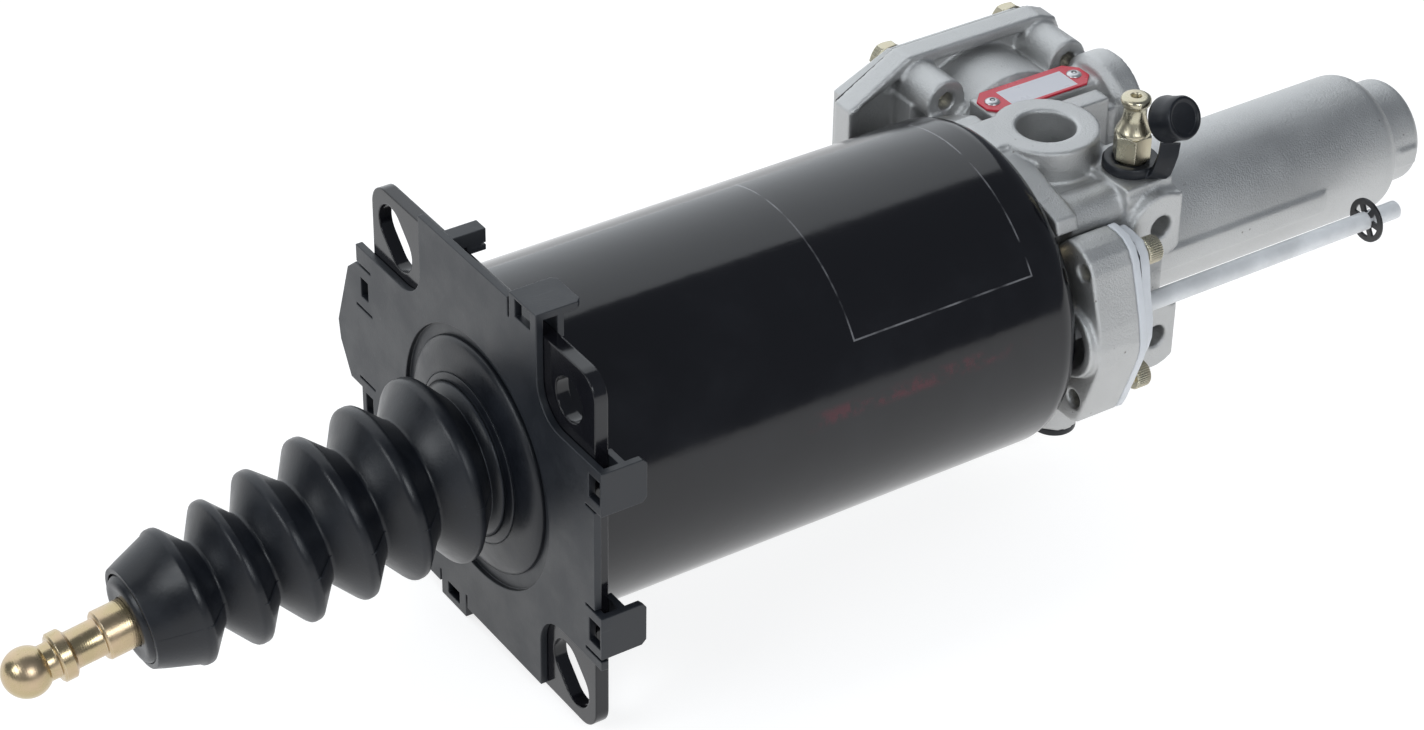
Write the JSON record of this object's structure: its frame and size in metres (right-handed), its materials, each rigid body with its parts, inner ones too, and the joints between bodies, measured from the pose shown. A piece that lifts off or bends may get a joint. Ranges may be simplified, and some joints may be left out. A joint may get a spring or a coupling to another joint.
{
  "type": "clutch servo",
  "caption": "Air-over-hydraulic clutch servo: black cylinder on a square flange, bellows boot with a ball-tipped push rod, cast valve housing and wear indicator rod.",
  "frame": {"origin": "centre of the mounting flange's front face, on the servo's axis", "axes": "+X along the axis towards the valve end, -X towards the push rod's tip, +Z towards the air port and bleed screw, -Y towards the wear indicator"},
  "size_m": [0.5194, 0.1566, 0.1383],
  "materials": {
    "black_paint": "gloss black",
    "black_plastic": "satin",
    "rubber": "satin",
    "steel": "plain",
    "cast_aluminium": "fine cast",
    "zinc": "yellow zinc on steel",
    "gasket": "matt",
    "plate": "red print on a plain plate",
    "white_plastic": "translucent white",
    "bearing": "matt",
    "rod_grey": "satin grey",
    "black_clip": "black spring steel"
  },
  "bodies": {
    "servo": {"mounting_flange": "black_paint", "cylinder_barrel": "black_paint", "dust_cover": "black_plastic", "boot": "rubber", "boot_ring": "steel", "preload_spring": "steel", "valve_housing": "cast_aluminium", "barrel_studs": "zinc", "relay_gasket": "gasket", "relay_cover": "cast_aluminium", "relay_bolts": "zinc", "relay_spring": "steel", "nameplate": "plate", "nameplate_rivets": "steel", "indicator_housing": "cast_aluminium", "indicator_gasket": "white_plastic", "indicator_screws": "zinc", "indicator_bush": "bearing", "exhaust_flap": "rubber", "bleed_cap": "rubber", "plunger_seal": "rubber"},
    "piston_group": {"piston": "cast_aluminium", "piston_seal": "rubber", "guide_band": "bearing", "plunger": "steel", "seat_ring": "steel"},
    "seat": {"ball_seat": "white_plastic"},
    "rod": {"push_rod": "zinc"},
    "indicator": {"indicator_rod": "rod_grey", "indicator_clip": "black_clip"},
    "bleeder": {"bleed_screw": "zinc"},
    "relay": {"relay_piston": "steel"}
  },
  "joints": [
    {"name": "piston_slide", "type": "slide", "parent": "servo", "child": "piston_group", "axis": [1, 0, 0], "range_m": [0, 0.07], "stiffness_N_per_m": 600, "springref_m": -0.08, "deforming": ["preload_spring", "boot"]},
    {"name": "rod_yaw", "type": "hinge", "parent": "piston_group", "child": "seat", "pos_m": [-0.0225, 0, 0], "axis": [0, 0, 1], "range_deg": [-7, 7], "deforming": ["boot"]},
    {"name": "rod_pitch", "type": "hinge", "parent": "seat", "child": "rod", "pos_m": [-0.0225, 0, 0], "axis": [0, 1, 0], "range_deg": [0, 15], "deforming": ["boot"]},
    {"name": "indicator_slide", "type": "slide", "parent": "servo", "child": "indicator", "axis": [1, 0, 0], "range_m": [0, 0.04]},
    {"name": "bleed_turn", "type": "hinge", "parent": "servo", "child": "bleeder", "pos_m": [0.2265, -0.0225, 0.04], "axis": [0, 0, 1], "range_deg": [0, 180]},
    {"name": "relay_slide", "type": "slide", "parent": "servo", "child": "relay", "axis": [0, 1, 0], "range_m": [0, 0.004], "stiffness_N_per_m": 1500, "springref_m": -0.003, "deforming": ["relay_spring"]}
  ]
}
